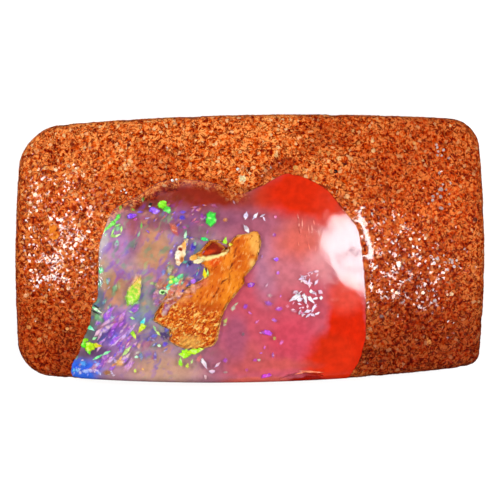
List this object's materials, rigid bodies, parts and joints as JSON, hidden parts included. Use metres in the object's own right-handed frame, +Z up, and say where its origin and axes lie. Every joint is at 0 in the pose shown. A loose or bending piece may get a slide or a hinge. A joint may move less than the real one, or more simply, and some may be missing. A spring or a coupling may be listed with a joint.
{
  "type": "boulder opal",
  "caption": "Block-shaped, domed and polished boulder opal: a pocket of precious opal breaking out of iron-stained sandy host rock.",
  "frame": {"origin": "middle of the flat sawn base", "axes": "+X along the stone's length, +Z up out of the domed polished face, -Y towards the front side that the opal breaks out of"},
  "size_m": [0.0298, 0.0172, 0.0074],
  "materials": {
    "host_rock": "iron-stained fine-grained sandy rock, ground and polished, with broken glints between the grains",
    "precious_opal": "translucent opal, violet-grey to pink to orange-red, polished, with green, yellow, blue and violet fire",
    "orange_rock": "bright orange splintery rock under the polish, granular at its lower end",
    "cream_rock": "cream splinter with red-brown spots"
  },
  "bodies": {
    "root": {"host_rock": "host_rock", "opal": "precious_opal", "rock_shard": "orange_rock", "rock_sliver": "cream_rock"}
  },
  "joints": []
}
